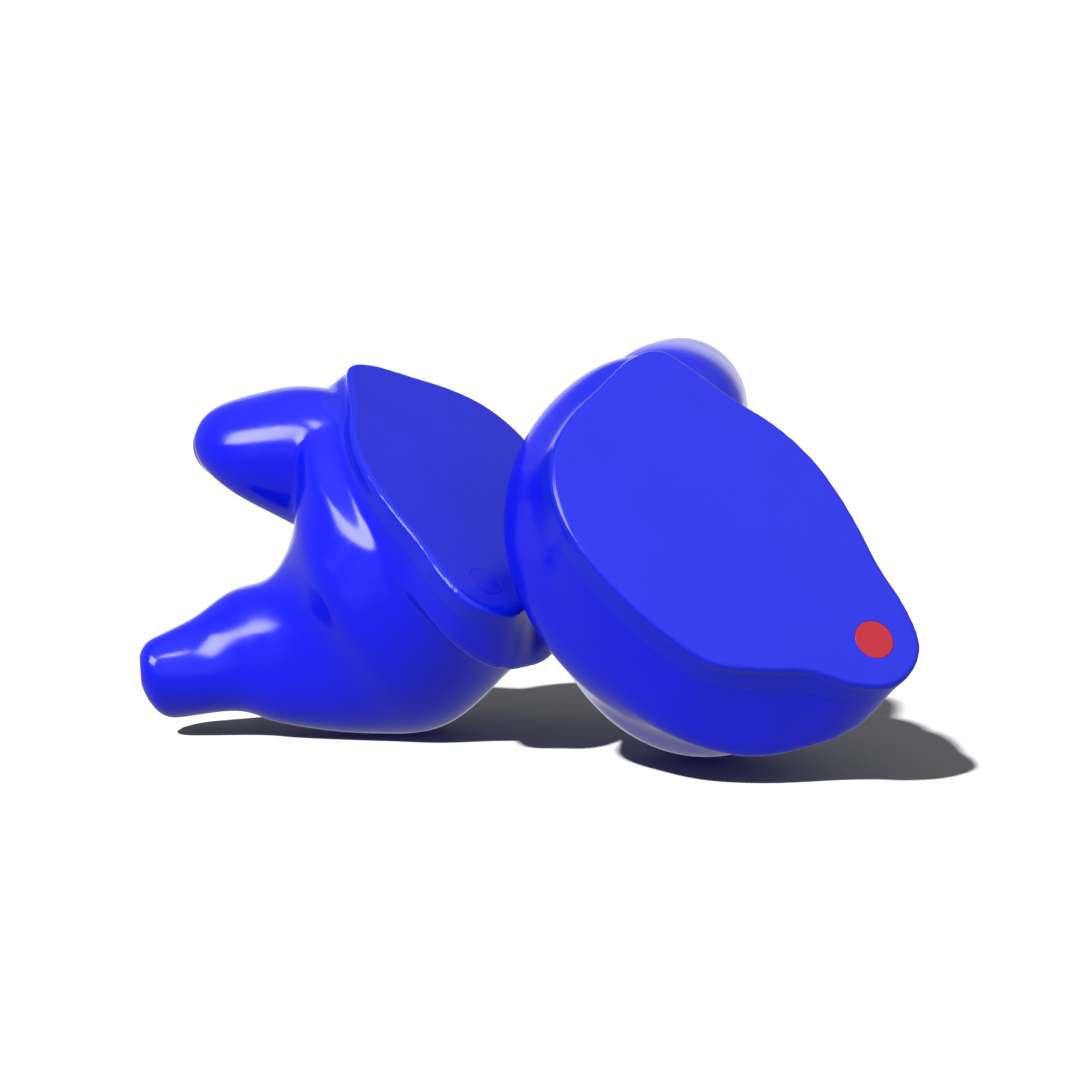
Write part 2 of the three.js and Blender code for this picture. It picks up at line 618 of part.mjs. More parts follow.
// How each lies on the table: its turn in degrees, and its place before the pair is centred.
const stance = {
  right: { turn: [60.5, 11.1, 35.6], x: 7.8, y: -7.5 },
  left: { turn: [33.1, 27.2, 28.3], x: -7.9, y: 7.5 },
};

function standing(group, { turn, x, y }) {
  group.rotation.set(...turn.map(rad), 'XYZ');
  group.position.set(x, y, 0).multiply(stretch);
  group.updateMatrixWorld(true);
  group.position.z = -new THREE.Box3().setFromObject(group, true).min.z;
  return group;
}

const right = monitor('right', 'redDot');
const left = monitor('left', 'blueDot');
left.scale.x = -1;

const pair = new THREE.Group();
pair.add(standing(right, stance.right), standing(left, stance.left));
pair.updateMatrixWorld(true);
const middle = new THREE.Box3().setFromObject(pair, true).getCenter(vec(0, 0, 0));
pair.position.set(-middle.x, -middle.y, 0);

export default pair;
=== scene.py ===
# In-ear monitors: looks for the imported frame. Forms are modelled in millimetres in one monitor's
# own frame (z = 0 is the faceplate, +y its nose, +x the canal side) and then set in their place.
import bpy
import json
import math
from mathutils import Matrix, Vector

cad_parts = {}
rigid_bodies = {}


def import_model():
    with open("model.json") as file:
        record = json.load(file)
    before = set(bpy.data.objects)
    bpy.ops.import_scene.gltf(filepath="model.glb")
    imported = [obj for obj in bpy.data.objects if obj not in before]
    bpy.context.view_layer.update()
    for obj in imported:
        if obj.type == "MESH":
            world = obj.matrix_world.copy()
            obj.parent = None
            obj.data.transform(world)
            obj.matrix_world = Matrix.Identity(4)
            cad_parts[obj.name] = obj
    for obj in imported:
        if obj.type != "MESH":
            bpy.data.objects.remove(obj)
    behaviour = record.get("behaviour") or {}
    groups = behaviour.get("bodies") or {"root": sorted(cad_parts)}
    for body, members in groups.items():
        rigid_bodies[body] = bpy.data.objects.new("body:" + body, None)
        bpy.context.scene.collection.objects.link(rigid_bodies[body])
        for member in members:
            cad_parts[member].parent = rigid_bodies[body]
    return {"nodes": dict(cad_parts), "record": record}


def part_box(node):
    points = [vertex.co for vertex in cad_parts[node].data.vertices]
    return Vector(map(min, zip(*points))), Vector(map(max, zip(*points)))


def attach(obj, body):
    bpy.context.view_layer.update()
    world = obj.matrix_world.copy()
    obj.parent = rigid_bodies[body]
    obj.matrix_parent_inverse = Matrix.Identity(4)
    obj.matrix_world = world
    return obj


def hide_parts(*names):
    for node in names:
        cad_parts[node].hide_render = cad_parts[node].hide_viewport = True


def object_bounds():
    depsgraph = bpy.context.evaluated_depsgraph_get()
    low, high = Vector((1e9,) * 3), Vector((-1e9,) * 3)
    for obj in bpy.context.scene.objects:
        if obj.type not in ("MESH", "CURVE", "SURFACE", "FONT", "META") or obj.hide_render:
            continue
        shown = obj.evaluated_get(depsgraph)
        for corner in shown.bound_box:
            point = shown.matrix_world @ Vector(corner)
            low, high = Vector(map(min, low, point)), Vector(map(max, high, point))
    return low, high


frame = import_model()
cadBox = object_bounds()
bpy.ops.object.select_all(action="DESELECT")
mm = 0.001


# small helpers

def only(obj):  # the one selected and active object
    bpy.ops.object.select_all(action="DESELECT")
    obj.select_set(True)
    bpy.context.view_layer.objects.active = obj
    return obj


def applyModifier(obj, kind, **values):
    only(obj)
    modifier = obj.modifiers.new(kind.title(), kind)
    for key, value in values.items():
        setattr(modifier, key, value)
    bpy.ops.object.modifier_apply(modifier=modifier.name)


def copyOf(obj, name):
    twin = obj.copy()
    twin.data = obj.data.copy()
    twin.name = name
    bpy.context.collection.objects.link(twin)
    return twin


def bake(obj, matrix=None):  # the place goes into the mesh, and the object to the origin
    only(obj)
    if matrix is not None:
        obj.matrix_world = matrix @ obj.matrix_world
    bpy.ops.object.transform_apply(location=True, rotation=True, scale=True)


def faceOut(obj):
    only(obj)
    bpy.ops.object.mode_set(mode="EDIT")
    bpy.ops.mesh.select_all(action="SELECT")
    bpy.ops.mesh.normals_make_consistent(inside=False)
    bpy.ops.object.mode_set(mode="OBJECT")


def cutAway(obj, *tools):
    for tool in tools:
        applyModifier(obj, "BOOLEAN", operation="DIFFERENCE", solver="EXACT", object=tool)


def addTo(obj, *parts):
    for part in parts:
        applyModifier(obj, "BOOLEAN", operation="UNION", solver="EXACT", object=part)
        remove(part)


def remove(*objs):
    for obj in objs:
        bpy.data.objects.remove(obj, do_unlink=True)


def cutFlat(obj, z, keepBelow):  # cut flat at a height and close the cut
    only(obj)
    bpy.ops.object.mode_set(mode="EDIT")
    bpy.ops.mesh.select_all(action="SELECT")
    bpy.ops.mesh.bisect(plane_co=(0, 0, z), plane_no=(0, 0, 1), use_fill=True,
                        clear_outer=keepBelow, clear_inner=not keepBelow)
    bpy.ops.object.mode_set(mode="OBJECT")


def smoothShade(obj, angle=35):
    only(obj)
    bpy.ops.object.shade_smooth_by_angle(angle=math.radians(angle))


# the ear impression: sections down the bowl and along the canal, and along the helix lobe

shellForm = {
    "plateLength": 25, "plateWidth": 16.2, "sides": 96, "stepsPerSpan": 8,
    "outline": [  # shares of half the width and half the length
        (0.42, 1.0), (0.27, 0.99), (-0.06, 0.93), (-0.4, 0.88), (-0.7, 0.78), (-0.9, 0.61),
        (-1.0, 0.39), (-1.0, 0.17), (-0.95, -0.05), (-0.86, -0.26), (-0.72, -0.46), (-0.44, -0.6),
        (-0.15, -0.72), (0.07, -0.89), (0.36, -1.0), (0.68, -0.93), (0.81, -0.73), (0.85, -0.5),
        (0.93, -0.29), (0.99, -0.07), (1.0, 0.15), (0.93, 0.37), (0.79, 0.57), (0.7, 0.78),
        (0.6, 0.98)],
    # x, y, z, lean, nod, half width, half length, turn, oval, egg
    "bowl": [
        (0, 0, 0, 0, 0, 8.1, 12.5, 0, 0, 0),
        (-0.7, 0, -3.1, 7, 7, 8.9, 14.8, -7, 0.5, 0.03),
        (-0.4, 1.4, -5.5, 13, 0, 9.9, 12.8, -5, 0.9, -0.08),
        (0.4, 0.2, -8.0, 16, -3, 9.5, 10.5, 0, 1, -0.05),
        (2.3, -1.3, -12.5, 34, -3, 8.8, 8.7, -2, 1, 0),
        (5.3, -1.5, -15.4, 49, -7, 6.0, 6.8, 3, 1, -0.05),
        (8.9, 0.2, -17.6, 58, 0, 4.3, 5.2, -3, 1, -0.12),
        (11.1, 1.0, -19.1, 52, -1, 3.3, 3.8, 0, 1, -0.07),
        (14.0, 1.6, -21.1, 53, 12, 3.3, 2.7, 0, 1, 0)],
    "canalTip": 1.6,
    # x, y, z, half width, half height, turn
    "lobe": [
        (1.2, 5.5, -6.0, 4.6, 5.6, 5),
        (5.4, 9.3, -6.5, 4.6, 5.3, 8),
        (8.4, 12.3, -8.1, 4.7, 3.7, 0),
        (9.1, 14.1, -9.8, 3.4, 2.6, -5)],
    "lobeTip": 1.8,
    "collar": 2, "voxel": 0.2, "smoothing": 30,
    "plateThickness": 1.6, "seam": 0.012,
    "rimRound": 0.35, "rimSteps": 6, "land": 0.15, "evening": 8,
}
cavityForm = {"lastRow": 5, "stepsPerSpan": 3, "wall": 1.0, "mouth": 2, "tip": 1.5, "tipSteps": 4,
              "voxel": 0.4}


def curveThrough(rows, steps, closed=False):  # Catmull-Rom rows between the given rows
    count = len(rows)
    out = []
    for k in range(count if closed else count - 1):
        if closed:
            a, b, c, d = (rows[(k + i) % count] for i in (-1, 0, 1, 2))
        else:
            b, c = rows[k], rows[k + 1]
            a = rows[k - 1] if k > 0 else [2 * p - q for p, q in zip(b, c)]
            d = rows[k + 2] if k + 2 < count else [2 * q - p for p, q in zip(b, c)]
        for s in range(steps):
            t = s / steps
            out.append([0.5 * (2 * q + (r - p) * t + (2 * p - 5 * q + 4 * r - w) * t * t
                               + (3 * q - 3 * r + w - p) * t ** 3)
                        for p, q, r, w in zip(a, b, c, d)])
    if not closed:
        out.append(list(rows[-1]))
    return out


def evenly(points, count):  # points spaced evenly round a closed outline
    lengths = [0]
    for p, q in zip(points, points[1:] + points[:1]):
        lengths.append(lengths[-1] + math.dist(p, q))
    out, k = [], 0
    for i in range(count):
        goal = lengths[-1] * i / count
        while lengths[k + 1] < goal:
            k += 1
        t = (goal - lengths[k]) / (lengths[k + 1] - lengths[k])
        p, q = points[k], points[(k + 1) % len(points)]
        out.append((p[0] + (q[0] - p[0]) * t, p[1] + (q[1] - p[1]) * t))
    return out


def plateOutline():
    f = shellForm
    corners = [(u * f["plateWidth"] / 2, v * f["plateLength"] / 2) for u, v in f["outline"]]
    return evenly([tuple(p) for p in curveThrough(corners, 12, closed=True)], f["sides"])


outline = plateOutline()


def sectionAxes(lean, nod):
    l, n = math.radians(lean), math.radians(nod)
    across = Vector((math.cos(l), 0, math.sin(l)))
    down = Vector((math.sin(l) * math.cos(n), math.sin(n), -math.cos(l) * math.cos(n)))
    return across, across.cross(down).normalized(), down


def bowlSection(row, inset=0.0):
    x, y, z, lean, nod, a, b, turn, oval, egg = row
    across, up, down = sectionAxes(lean, nod)
    points = []
    for px, py in outline:
        angle, rim = math.atan2(py, px), math.hypot(px, py) - inset
        own = angle - math.radians(turn)
        radius = 1 / math.hypot(math.cos(own) / (a - inset), math.sin(own) / (b - inset))
        c, s = math.cos(angle), math.sin(angle)
        u = (1 - oval) * rim * c + oval * radius * c * (1 - egg * s)
        v = (1 - oval) * rim * s + oval * radius * s
        points.append(Vector((x, y, z)) + across * u + up * v)
    return points


def lobeSections(sides=48):
    rows = curveThrough(shellForm["lobe"], shellForm["stepsPerSpan"])
    middles = [Vector(row[:3]) for row in rows]
    sections = []
    for k, row in enumerate(rows):
        run = (middles[min(k + 1, len(rows) - 1)] - middles[max(k - 1, 0)]).normalized()
        across = Vector((0, 0, 1)).cross(run).normalized()
        up = run.cross(across)
        t = math.radians(row[5])
        a = across * math.cos(t) + up * math.sin(t)
        b = up * math.cos(t) - across * math.sin(t)
        sections.append([middles[k] + a * (row[3] * math.cos(q)) + b * (row[4] * math.sin(q))
                         for q in (2 * math.pi * i / sides for i in range(sides))])
    return sections, run


def roundEnd(section, direction, height, steps=7):
    middle = sum(section, Vector()) / len(section)
    out = []
    for k in range(1, steps + 1):
        a = k / (steps + 0.3) * math.pi / 2
        out.append([middle + (p - middle) * math.cos(a) + direction * (height * math.sin(a))
                    for p in section])
    return out


def loft(name, sections):  # a circle, shaped to the first section and extruded from each to the next
    bpy.ops.object.select_all(action="DESELECT")
    bpy.ops.mesh.primitive_circle_add(vertices=len(sections[0]), radius=8, location=(0, 0, 0))
    obj = bpy.context.object
    obj.name = name
    for vertex, point in zip(obj.data.vertices, sections[0]):
        vertex.co = point
    bpy.ops.object.mode_set(mode="EDIT")
    bpy.ops.mesh.select_all(action="SELECT")
    bpy.ops.mesh.edge_face_add()
    for section in sections[1:]:
        bpy.ops.mesh.extrude_region_move()
        bpy.ops.object.mode_set(mode="OBJECT")
        lifted = [v for v in obj.data.vertices if v.select]
        for vertex, point in zip(lifted, section):
            vertex.co = point
        bpy.ops.object.mode_set(mode="EDIT")
    bpy.ops.mesh.select_all(action="SELECT")
    bpy.ops.mesh.normals_make_consistent(inside=False)
    bpy.ops.object.mode_set(mode="OBJECT")
    return obj


def bowlLoft():  # it starts above the faceplate, which is cut from it later
    rows = curveThrough(shellForm["bowl"], shellForm["stepsPerSpan"])
    sections = [bowlSection(row) for row in rows]
    collar = [p + Vector((0, 0, shellForm["collar"])) for p in sections[0]]
    down = sectionAxes(rows[-1][3], rows[-1][4])[2]
    return loft("bowl", [collar] + sections + roundEnd(sections[-1], down, shellForm["canalTip"]))


def cavityLoft():
    f = cavityForm
    rows = curveThrough(shellForm["bowl"][:f["lastRow"] + 1], f["stepsPerSpan"])
    sections = [bowlSection(row, f["wall"]) for row in rows]
    mouth = [Vector((p.x, p.y, f["mouth"])) for p in sections[0]]
    down = sectionAxes(rows[-1][3], rows[-1][4])[2]
    cavity = loft("cavity", [mouth] + sections + roundEnd(sections[-1], down, f["tip"], f["tipSteps"]))
    applyModifier(cavity, "REMESH", mode="VOXEL", voxel_size=f["voxel"])
    return cavity


def impression():
    body = bowlLoft()
    sections, run = lobeSections()
    lobe = loft("lobe", sections + roundEnd(sections[-1], run, shellForm["lobeTip"]))
    addTo(body, lobe)
    applyModifier(body, "REMESH", mode="VOXEL", voxel_size=shellForm["voxel"], use_smooth_shade=True)
    applyModifier(body, "SMOOTH", factor=0.5, iterations=shellForm["smoothing"])
    return body


# sound bores, cable socket and side marker, in the same frame as the form

bores = {"diameter": 2.0, "spacing": 2.9, "length": 14, "past": 1.5}
socketForm = {
    "width": 5.2, "height": 2.8, "depth": 4.2, "corner": 0.7, "room": 0.12, "edge": 0.18,
    "from": (-2.2, 8.2, -4.4), "mouth": (-0.12, 0.66, -0.74), "recess": 0.05,
    "pitch": 2.0, "way": 1.26, "flare": 1.7, "flareDepth": 0.5, "flareEdge": 0.2,
}
contactForm = {"diameter": 1.2, "length": 4.6, "edge": 0.08, "hole": 0.8, "holeLength": 3.8,
               "holeUp": 0.5, "below": 0.2}
markerForm = {"diameter": 2.3, "thickness": 0.7, "x": 3.3, "y": -9.6, "gap": 0.015, "edge": 0.03,
              "land": 0.1}

tipRow, neckRow = shellForm["bowl"][-1], shellForm["bowl"][-3]
canalRun = (Vector(tipRow[:3]) - Vector(neckRow[:3])).normalized()
canalAcross = sectionAxes(tipRow[3], tipRow[4])[0]
canalAcross = (canalAcross - canalRun * canalAcross.dot(canalRun)).normalized()
canalEnd = Vector(tipRow[:3]) + canalRun * shellForm["canalTip"]


def facing(run, up, at):  # a piece drawn along +z, turned to run and set down at a point
    z = run.normalized()
    x = up.cross(z).normalized()
    return Matrix.Translation(at) @ Matrix((x, z.cross(x), z)).transposed().to_4x4()


def drum(name, diameter, length, sides=48, edge=0.0, at=(0, 0, 0)):  # a rod, its ends eased if asked
    bpy.ops.object.select_all(action="DESELECT")
    bpy.ops.mesh.primitive_cylinder_add(vertices=sides, radius=diameter / 2, depth=length, location=at)
    obj = bpy.context.object
    obj.name = name
    bpy.ops.object.transform_apply(location=True)
    if edge:
        applyModifier(obj, "BEVEL", width=edge, segments=3, limit_method="ANGLE")
    return obj


def boreTool(side):
    tool = drum("bore", bores["diameter"], bores["length"])
    middle = canalEnd + canalRun * (bores["past"] - bores["length"] / 2)
    bake(tool, facing(canalRun, canalAcross, middle + canalAcross * (side * bores["spacing"] / 2)))
    return tool


def socketBlock(name, grow, extra, edge):  # a rounded block along +z, its mouth at z = 0
    f = socketForm
    bpy.ops.object.select_all(action="DESELECT")
    height = f["depth"] + extra
    bpy.ops.mesh.primitive_cube_add(size=1, location=(0, 0, (extra - f["depth"]) / 2))
    obj = bpy.context.object
    obj.name = name
    obj.scale = (f["width"] + 2 * grow, f["height"] + 2 * grow, height)
    bpy.ops.object.transform_apply(location=True, scale=True)
    bpy.ops.object.mode_set(mode="EDIT")
    bpy.ops.mesh.select_all(action="DESELECT")
    bpy.ops.object.mode_set(mode="OBJECT")
    for e in obj.data.edges:
        p, q = (obj.data.vertices[i].co for i in e.vertices)
        e.select = abs(p.z - q.z) > height / 2
    bpy.ops.object.mode_set(mode="EDIT")
    bpy.ops.mesh.select_mode(type="EDGE")
    bpy.ops.mesh.bevel(offset=f["corner"] + grow, segments=6, affect="EDGES")
    bpy.ops.object.mode_set(mode="OBJECT")
    if edge:
        applyModifier(obj, "BEVEL", width=edge, segments=3, limit_method="ANGLE")
    return obj


def socketPlace():  # where the socket's mouth meets the skin of the bowl
    run = Vector(socketForm["mouth"]).normalized()
    across = (Vector((1, 0, 0)) - run * run.x).normalized()
    point = skin.ray_cast(Vector(socketForm["from"]) + run * 20, -run)[1]
    return facing(run, run.cross(across), point - run * socketForm["recess"])


print("impression")
skin = impression()
socketAt = socketPlace()
socketPocket = socketBlock("pocket", socketForm["room"], 3, 0)
bake(socketPocket, socketAt)
cutAway(skin, boreTool(1), boreTool(-1), socketPocket)


def editTop(obj, z):  # edit mode, with the flat faces at one height selected
    only(obj)
    for face in obj.data.polygons:
        face.select = face.normal.z > 0.999 and abs(face.center.z - z) < 0.01
    bpy.ops.object.mode_set(mode="EDIT")
    bpy.ops.mesh.select_mode(type="FACE")


def evenRim(obj):  # smooth the cut's outline, within its own plane
    editTop(obj, -shellForm["rimRound"])
    bpy.ops.mesh.vertices_smooth(factor=0.5, repeat=shellForm["evening"], zaxis=False)
    bpy.ops.object.mode_set(mode="OBJECT")


def roundRim(obj):  # from the flat cut, narrower and narrower steps up to the faceplate's face
    rim, steps = shellForm["rimRound"], shellForm["rimSteps"]
    editTop(obj, -rim)
    for k in range(steps):
        a, b = (math.pi / 2 * (k + i) / steps for i in (0, 1))
        inward = rim * (math.cos(a) - math.cos(b))
        up = rim * (math.sin(b) - math.sin(a))
        bpy.ops.mesh.inset(thickness=inward, depth=up, use_even_offset=False)
    bpy.ops.mesh.inset(thickness=shellForm["land"], depth=0, use_even_offset=False)
    bpy.ops.object.mode_set(mode="OBJECT")


print("faceplate and shell")
plate = copyOf(skin, "faceplate")
cutFlat(plate, -shellForm["rimRound"], True)
evenRim(plate)
cutFlat(plate, -shellForm["plateThickness"], False)
roundRim(plate)
cutFlat(skin, -shellForm["plateThickness"] - shellForm["seam"], True)
cutAway(skin, cavityLoft())
markerPocket = drum("markerPocket", markerForm["diameter"] + 2 * markerForm["gap"], 2,
                    at=(markerForm["x"], markerForm["y"], 1 - markerForm["thickness"]))
cutAway(plate, markerPocket)
marker = drum("sideMarker", markerForm["diameter"], markerForm["thickness"], 64, markerForm["edge"],
              at=(markerForm["x"], markerForm["y"], -markerForm["thickness"] / 2))
editTop(marker, 0)
bpy.ops.mesh.inset(thickness=markerForm["land"])
bpy.ops.object.mode_set(mode="OBJECT")


print("socket")
socket = socketBlock("cableSocket", 0, 0, socketForm["edge"])
for side in (-1, 1):
    at = (side * socketForm["pitch"] / 2, 0, 0)
    way = drum("way", socketForm["way"], 12, at=at)
    flare = drum("flare", socketForm["flare"], socketForm["flareDepth"], at=at)
    applyModifier(flare, "BEVEL", width=socketForm["flareEdge"], segments=1, limit_method="ANGLE")
    cutAway(socket, way, flare)
    remove(way, flare)
bake(socket, socketAt)


def contactBarrel(side):
    f = contactForm
    barrel = drum("socketContact", f["diameter"], f["length"], 40, f["edge"])
    hole = drum("pinHole", f["hole"], f["holeLength"], 32, at=(0, 0, f["holeUp"]))
    cutAway(barrel, hole)
    remove(hole)
    down = f["below"] + f["length"] / 2
    bake(barrel, socketAt @ Matrix.Translation((side * socketForm["pitch"] / 2, 0, -down)))
    return barrel


contacts = {"a": contactBarrel(-1), "b": contactBarrel(1)}
spent = [obj for obj in bpy.data.objects if obj.name.startswith(("bore", "cavity"))]
remove(socketPocket, markerPocket, *spent)


# where each monitor lies: its faceplate gives the face, and its side marker the turn in the face

def monitorPlace(side):
    mount = next(m for m in frame["record"]["mounts"] if m["name"] == side + "_faceplate_face")
    z = Vector(mount["axis"]).normalized()
    origin = Vector(mount["pos_m"])
    low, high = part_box(side + "_side_marker")
    towards = (low + high) / 2 - origin
    towards = (towards - z * towards.dot(z)).normalized()
    flip = 1 if side == "right" else -1
    turn = math.atan2(markerForm["y"], flip * markerForm["x"])
    x = Matrix.Rotation(-turn, 3, z) @ towards
    y = z.cross(x)
    axes = Matrix((x, y, z)).transposed().to_4x4()
    return Matrix.Translation(origin) @ axes @ Matrix.Diagonal((flip * mm, mm, mm, 1))


def placePiece(master, side, name, node, slot):
    piece = copyOf(master, side + name)
    bake(piece, monitorPlace(side))
    if side == "left":
        faceOut(piece)
    smoothShade(piece)
    piece.data.materials.clear()
    piece.data.materials.append(finishes[slot])
    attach(piece, side + "_monitor")
    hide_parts(side + "_" + node)
    return piece


# materials

def linear(code):  # an sRGB hex colour as linear RGBA
    parts = [int(code[i:i + 2], 16) / 255 for i in (1, 3, 5)]
    return tuple(c / 12.92 if c <= 0.04045 else ((c + 0.055) / 1.055) ** 2.4 for c in parts) + (1,)


def addNode(tree, kind, inputs=None, **settings):
    node = tree.nodes.new(kind)
    for key, value in settings.items():
        setattr(node, key, value)
    for key, value in (inputs or {}).items():
        if isinstance(value, bpy.types.NodeSocket):
            tree.links.new(value, node.inputs[key])
        else:
            node.inputs[key].default_value = value
    return node


def newMaterial(name):
    material = bpy.data.materials.new(name)
    material.use_nodes = True
    tree = material.node_tree
    shader = tree.nodes["Principled BSDF"]
    spot = addNode(tree, "ShaderNodeTexCoord").outputs["Object"]
    return material, tree, shader, spot


def noiseOf(tree, spot, size, detail=3.0):
    inputs = {"Vector": spot, "Scale": 1 / size, "Detail": detail}
    return addNode(tree, "ShaderNodeTexNoise", inputs).outputs[0]


def spanned(tree, noise, low, high):  # noise stretched from low to high
    inputs = {"Value": noise, "From Min": 0.3, "From Max": 0.7, "To Min": low, "To Max": high}
    return addNode(tree, "ShaderNodeMapRange", inputs).outputs[0]


def tinted(tree, factor, first, second):
    mix = addNode(tree, "ShaderNodeMix", data_type="RGBA")
    tree.links.new(factor, mix.inputs["Factor"])
    mix.inputs[6].default_value = linear(first)
    mix.inputs[7].default_value = linear(second)
    return mix.outputs[2]


def bumpFrom(tree, height, strength, depth):
    inputs = {"Height": height, "Strength": strength, "Distance": depth}
    return addNode(tree, "ShaderNodeBump", inputs).outputs[0]


def finish(name, base, other, grain, roughness, roughGrain, spread):
    # two mottled tints and a mottled roughness, with what is needed to add more to them
    material, tree, shader, spot = newMaterial(name)
    height = noiseOf(tree, spot, grain)
    tree.links.new(tinted(tree, spanned(tree, height, 0, 1), base, other), shader.inputs["Base Color"])
    low, high = (roughness * share for share in spread)
    rough = spanned(tree, noiseOf(tree, spot, roughGrain), low, high)
    tree.links.new(rough, shader.inputs["Roughness"])
    return material, tree, shader, spot, height


acrylic = {"cloudSize": 6 * mm, "ior": 1.49, "roughness": 0.17, "wipe": 1.2 * mm, "spread": (0.8, 1.25),
           "waviness": 2.5 * mm, "waveDepth": 0.006 * mm, "waveStrength": 0.3}
plastic = {"ior": 1.5, "spread": (0.85, 1.15), "grainDepth": 0.01 * mm, "grainStrength": 0.25}
plating = {"spread": (0.8, 1.2), "grainDepth": 0.004 * mm, "grainStrength": 0.2}


def lacqueredAcrylic(name, base, clouds):
    # poured acrylic under a wiped lacquer: deep even colour, a wet gloss and a very faint waviness
    f = acrylic
    material, tree, shader, spot, height = finish(
        name, base, clouds, f["cloudSize"], f["roughness"], f["wipe"], f["spread"])
    ripple = noiseOf(tree, spot, f["waviness"], 1.0)
    bump = bumpFrom(tree, ripple, f["waveStrength"], f["waveDepth"])
    tree.links.new(bump, shader.inputs["Normal"])
    shader.inputs["IOR"].default_value = f["ior"]
    return material


def plainPlastic(name, base, other, roughness, grain):
    # moulded plastic with the fine grain of its tool
    f = plastic
    material, tree, shader, spot, height = finish(
        name, base, other, grain, roughness, grain * 2, f["spread"])
    bump = bumpFrom(tree, height, f["grainStrength"], f["grainDepth"])
    tree.links.new(bump, shader.inputs["Normal"])
    shader.inputs["IOR"].default_value = f["ior"]
    return material


def metal(name, base, other, roughness, grain):
    # plated or turned metal with fine handling marks
    f = plating
    material, tree, shader, spot, height = finish(
        name, base, other, grain, roughness, grain * 3, f["spread"])
    bump = bumpFrom(tree, height, f["grainStrength"], f["grainDepth"])
    tree.links.new(bump, shader.inputs["Normal"])
    shader.inputs["Metallic"].default_value = 1
    return material


print("materials")
finishes = {
    "shell_acrylic": lacqueredAcrylic("lacquered acrylic shell", "#020dd2", "#0411d6"),
    # the faceplate is the same acrylic as the shell; its darker tint is painted shade against the light
    # on its face
    "faceplate_acrylic": lacqueredAcrylic("acrylic faceplate with painted shade", "#0318c9", "#051bcd"),
    "red_marker": lacqueredAcrylic("red lacquered marker", "#ac0f26", "#b0142b"),
    "blue_marker": lacqueredAcrylic("blue lacquered marker", "#070bc9", "#0a0ecf"),
    "socket_plastic": plainPlastic("moulded nylon", "#17181b", "#1d1e22", 0.45, 0.25 * mm),
    "gold_contact": metal("gold-plated brass", "#d9b45c", "#cfa64c", 0.22, 0.15 * mm),
    "driver_steel": metal("nickel-plated drawn steel", "#b9bcc0", "#a9adb2", 0.3, 0.3 * mm),
    "spout_brass": metal("turned brass", "#c8a860", "#bb9a52", 0.3, 0.2 * mm),
    "coil_copper": metal("enamelled copper winding", "#b46a3c", "#9c5a30", 0.35, 0.08 * mm),
    "magnet": metal("nickel-plated magnet", "#7d8086", "#6d7076", 0.3, 0.2 * mm),
    "diaphragm_foil": plainPlastic("polyester film", "#d6d2c4", "#cbc7b8", 0.35, 0.4 * mm),
    "tube_plastic": plainPlastic("clear vinyl tube", "#e8ecf0", "#dfe4e8", 0.2, 0.5 * mm),
    "damper_mesh": plainPlastic("damper mesh", "#2f8a4e", "#246f3e", 0.7, 0.1 * mm),
    "board_laminate": plainPlastic("glass epoxy laminate", "#1f5a34", "#1a4d2c", 0.45, 0.2 * mm),
    "capacitor_ceramic": plainPlastic("fired ceramic", "#b59a78", "#a88d6c", 0.6, 0.15 * mm),
    "resistor_body": plainPlastic("moulded epoxy", "#222326", "#2a2b2f", 0.5, 0.1 * mm),
    "wire_enamel": plainPlastic("wire enamel", "#a8552c", "#984a24", 0.3, 0.1 * mm),
}

print("monitors")
for side in ("right", "left"):
    dot = "red_marker" if side == "right" else "blue_marker"
    placePiece(skin, side, "Shell", "shell", "shell_acrylic")
    placePiece(plate, side, "Faceplate", "faceplate", "faceplate_acrylic")
    placePiece(marker, side, "SideMarker", "side_marker", dot)
    placePiece(socket, side, "CableSocket", "cable_socket", "socket_plastic")
    for key, barrel in contacts.items():
        placePiece(barrel, side, "SocketContact" + key.upper(), "socket_contact_" + key,
                   "gold_contact")
remove(skin, plate, marker, socket, *contacts.values())

slots = {part["node"]: part["material_slot"] for part in frame["record"]["subparts"]}
for node, obj in frame["nodes"].items():
    if not obj.hide_render:
        obj.data.materials.clear()
        obj.data.materials.append(finishes[slots[node]])


# floor, light and camera

stageSet = {"floor": "#707071", "size": 3.0}
roomSet = {
    "dim": 0.34,
    "backdrop": {"towards": (0, 1, 0.21), "from": 0.84, "to": 0.905, "lift": 0.72},
    "overhead": {"towards": (0.2, -0.6, 0.77), "from": 0.35, "to": 0.95, "lift": 0.62},
}
cameraSet = {"x": 0.0030, "y": -0.09913, "height": 0.01775, "pitch": 2.3, "lens": 50}
lightSet = {
    "sun": {"towards": (0.48, 0.58, -0.78), "angle": 2.5, "strength": 27.0},
    "keyBox": {"place": (-0.15, -0.145, 0.13), "size": (0.12, 0.09), "power": 0.40},
    "lobeBox": {"place": (-0.05, -0.16, 0.20), "size": (0.06, 0.04), "power": 0.10},
    "lowFill": {"place": (-0.03, -0.18, 0.012), "size": (0.30, 0.05), "power": 0.17, "mirrored": False},
}


def floorSheet():
    bpy.ops.object.select_all(action="DESELECT")
    bpy.ops.mesh.primitive_plane_add(size=stageSet["size"], location=(0, 0, cadBox[0].z - 0.02 * mm))
    floor = bpy.context.object
    floor.name = "tableSheet"
    material, tree, shader, spot = newMaterial("matt pale card")
    rough = spanned(tree, noiseOf(tree, spot, 2 * mm), 0.85, 0.95)
    tree.links.new(rough, shader.inputs["Roughness"])
    shader.inputs["Base Color"].default_value = linear(stageSet["floor"])
    shader.inputs["Specular IOR Level"].default_value = 0.1
    floor.data.materials.append(material)
    floor.visible_glossy = floor.visible_diffuse = False
    return floor


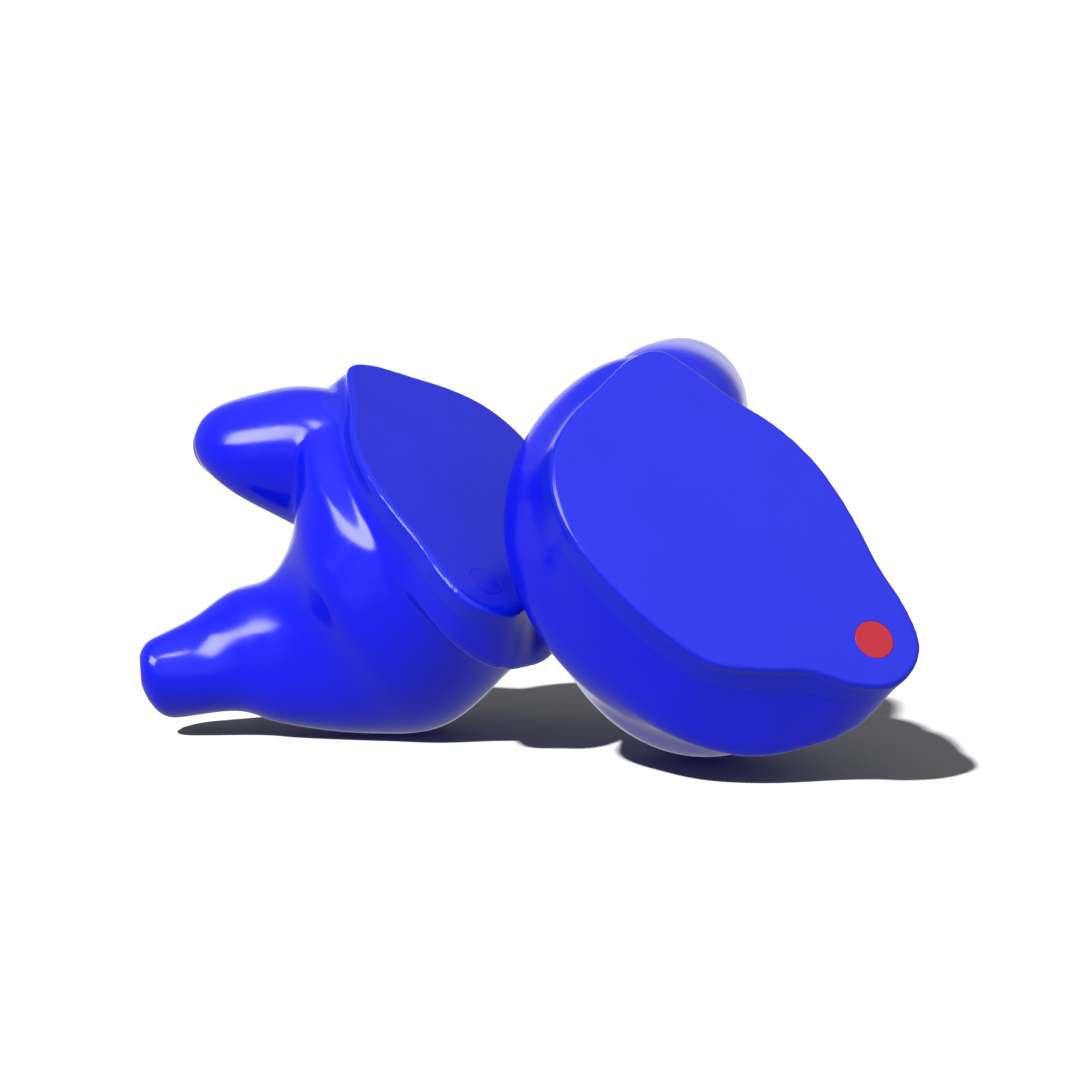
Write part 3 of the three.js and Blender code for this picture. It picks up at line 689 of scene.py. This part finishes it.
def softBox(name, place, size, power, mirrored=True):  # aimed at the pair, which alone it lights
    bpy.ops.object.light_add(type="AREA", location=place)
    light = bpy.context.object
    light.name = name
    light.data.shape = "RECTANGLE"
    light.data.size, light.data.size_y = size
    light.data.energy = power
    aim = Vector((0, 0, (cadBox[0].z + cadBox[1].z) / 2)) - Vector(place)
    light.rotation_mode = "QUATERNION"
    light.rotation_quaternion = aim.to_track_quat("-Z", "Y")
    light.visible_glossy = mirrored
    light.light_linking.receiver_collection = pairOnly


def floorSun(floor, towards, angle, strength):  # it lights only the card, and the pair shades it
    bpy.ops.object.light_add(type="SUN", location=(-0.2, -0.1, 0.3))
    sun = bpy.context.object
    sun.name = "floorSun"
    sun.data.angle = math.radians(angle)
    sun.data.energy = strength
    sun.rotation_mode = "QUATERNION"
    sun.rotation_quaternion = Vector(towards).to_track_quat("-Z", "Y")
    lit = bpy.data.collections.new("card")
    lit.objects.link(floor)
    sun.light_linking.receiver_collection = lit


print("stage")
pairOnly = bpy.data.collections.new("pair")
for obj in bpy.data.objects:
    pairOnly.objects.link(obj)
world = bpy.data.worlds.new("paleRoom")
bpy.context.scene.world = world
world.use_nodes = True
tree = world.node_tree
room = addNode(tree, "ShaderNodeTexCoord").outputs["Generated"]
level = roomSet["dim"]
for part in ("backdrop", "overhead"):  # two broad pale patches in a dimmer room
    patch = roomSet[part]
    towards = Vector(patch["towards"]).normalized()
    near = addNode(tree, "ShaderNodeVectorMath", {0: room, 1: towards}, operation="DOT_PRODUCT")
    inputs = {"Value": near.outputs["Value"], "From Min": patch["from"], "From Max": patch["to"],
              "To Max": patch["lift"]}
    lift = addNode(tree, "ShaderNodeMapRange", inputs).outputs["Result"]
    level = addNode(tree, "ShaderNodeMath", {0: lift, 1: level}).outputs[0]
tree.links.new(level, tree.nodes["Background"].inputs["Strength"])
tree.nodes["Background"].inputs["Color"].default_value = (1, 1, 1, 1)
floorSun(floorSheet(), **lightSet["sun"])
for name in ("keyBox", "lobeBox", "lowFill"):
    softBox(name, **lightSet[name])

bpy.ops.object.camera_add(location=(cameraSet["x"], cameraSet["y"], cameraSet["height"]),
                          rotation=(math.radians(90 - cameraSet["pitch"]), 0, 0))
camera = bpy.context.object
camera.data.lens = cameraSet["lens"]
camera.data.sensor_width = 36
camera.data.clip_start = 0.005
bpy.context.scene.camera = camera
bpy.context.scene.view_settings.view_transform = "Standard"
